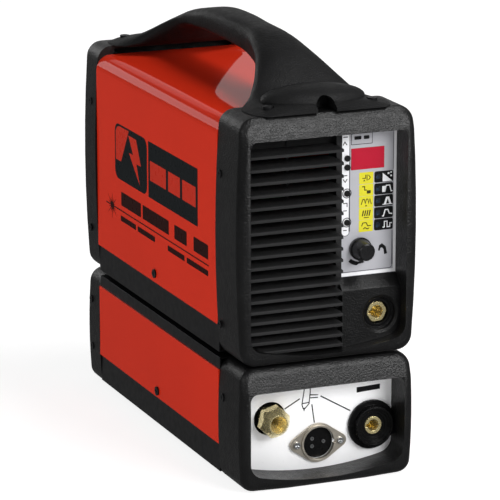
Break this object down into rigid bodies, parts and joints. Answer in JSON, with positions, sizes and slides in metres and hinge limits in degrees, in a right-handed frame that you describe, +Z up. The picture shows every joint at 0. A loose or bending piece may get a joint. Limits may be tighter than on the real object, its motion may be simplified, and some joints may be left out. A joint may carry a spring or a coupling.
{
  "type": "tig welding machine",
  "caption": "Portable TIG welding machine: an inverter unit with louvres, display panel and carrying handle, stacked on a gas and high-frequency unit with its connectors.",
  "frame": {"origin": "centre of the base, on the surface that the machine stands on", "axes": "+Z up, -Y out of the front panels, +X to the right seen from the front"},
  "size_m": [0.1528, 0.352, 0.3473],
  "materials": {
    "moulded_black": "fine moulded grain",
    "red_paint": "smooth baked enamel",
    "black_steel": "satin powder coat",
    "grey_overlay": "printed polyester overlay",
    "display_red": "tinted filter window",
    "indicator_lens": "small diffused lens",
    "circuit_board": "solder resist",
    "button_black": "satin",
    "knob_plastic": "satin",
    "plated_steel": "zinc plated",
    "black_screw": "blackened",
    "insulator_black": "semi-gloss",
    "brass": "turned",
    "fan_plastic": "satin",
    "wire_guard": "plated wire",
    "rocker_red": "gloss",
    "capacitor_sleeve": "shrink sleeve",
    "heat_sink": "extruded",
    "winding": "enamelled copper",
    "white_plate": "printed sheet",
    "nickel_flange": "nickel plated casting",
    "valve_body": "anodised",
    "gas_tube": "hose",
    "spacer_rubber": "moulded"
  },
  "bodies": {
    "machine": {"upper_front_bezel": "moulded_black", "upper_rear_bezel": "moulded_black", "upper_cover": "red_paint", "upper_tray": "black_steel", "front_grille": "moulded_black", "socket_boss": "moulded_black", "control_panel": "grey_overlay", "display_window": "display_red", "indicator_leds": "indicator_lens", "display_board": "circuit_board", "encoder_body": "plated_steel", "positive_insulator": "insulator_black", "positive_contact": "brass", "handle": "moulded_black", "handle_screws": "black_screw", "upper_rear_panel": "black_steel", "fan_housing": "fan_plastic", "fan_guard": "wire_guard", "switch_frame": "insulator_black", "cable_gland": "insulator_black", "power_board": "circuit_board", "capacitors": "capacitor_sleeve", "heat_sinks": "heat_sink", "transformer": "winding", "output_choke": "winding", "lower_front_bezel": "moulded_black", "lower_rear_bezel": "moulded_black", "lower_panel_left": "red_paint", "lower_panel_right": "red_paint", "lower_tray": "black_steel", "lower_deck": "black_steel", "connector_plate": "white_plate", "gas_cup": "insulator_black", "gas_fitting": "brass", "control_socket_flange": "nickel_flange", "control_socket_insert": "insulator_black", "control_socket_pins": "plated_steel", "control_socket_screws": "plated_steel", "negative_insulator": "insulator_black", "negative_contact": "brass", "lower_rear_panel": "black_steel", "gas_inlet": "brass", "gas_valve": "valve_body", "gas_tubes": "gas_tube", "hf_board": "circuit_board", "hf_coil": "winding", "unit_spacers": "spacer_rubber", "link_screws": "plated_steel", "cover_screws": "black_screw", "bezel_screws": "black_screw"},
    "knob": {"encoder_knob": "knob_plastic", "encoder_shaft": "plated_steel"},
    "fan": {"fan_rotor": "fan_plastic"},
    "rocker": {"switch_rocker": "rocker_red"},
    "plunger": {"valve_plunger": "plated_steel"},
    "push_button_1": {"button_1": "button_black"},
    "push_button_2": {"button_2": "button_black"},
    "push_button_3": {"button_3": "button_black"},
    "push_button_4": {"button_4": "button_black"}
  },
  "joints": [
    {"name": "knob_turn", "type": "hinge", "parent": "machine", "child": "knob", "pos_m": [0.0347, -0.17, 0.1847], "axis": [0, 1, 0], "continuous": true},
    {"name": "button_1_press", "type": "slide", "parent": "machine", "child": "push_button_1", "axis": [0, 1, 0], "range_m": [0, 0.0008], "stiffness_N_per_m": 500, "springref_m": -0.0006},
    {"name": "button_2_press", "type": "slide", "parent": "machine", "child": "push_button_2", "axis": [0, 1, 0], "range_m": [0, 0.0008], "stiffness_N_per_m": 500, "springref_m": -0.0006},
    {"name": "button_3_press", "type": "slide", "parent": "machine", "child": "push_button_3", "axis": [0, 1, 0], "range_m": [0, 0.0008], "stiffness_N_per_m": 500, "springref_m": -0.0006},
    {"name": "button_4_press", "type": "slide", "parent": "machine", "child": "push_button_4", "axis": [0, 1, 0], "range_m": [0, 0.0008], "stiffness_N_per_m": 500, "springref_m": -0.0006},
    {"name": "fan_spin", "type": "hinge", "parent": "machine", "child": "fan", "pos_m": [-0.014, 0.149, 0.1908], "axis": [0, 1, 0], "continuous": true},
    {"name": "switch_tilt", "type": "hinge", "parent": "machine", "child": "rocker", "pos_m": [0.044, 0.159, 0.2608], "axis": [1, 0, 0], "range_deg": [0, 16]},
    {"name": "valve_lift", "type": "slide", "parent": "machine", "child": "plunger", "axis": [0, 0, 1], "range_m": [0, 0.002], "stiffness_N_per_m": 300, "springref_m": -0.003}
  ]
}
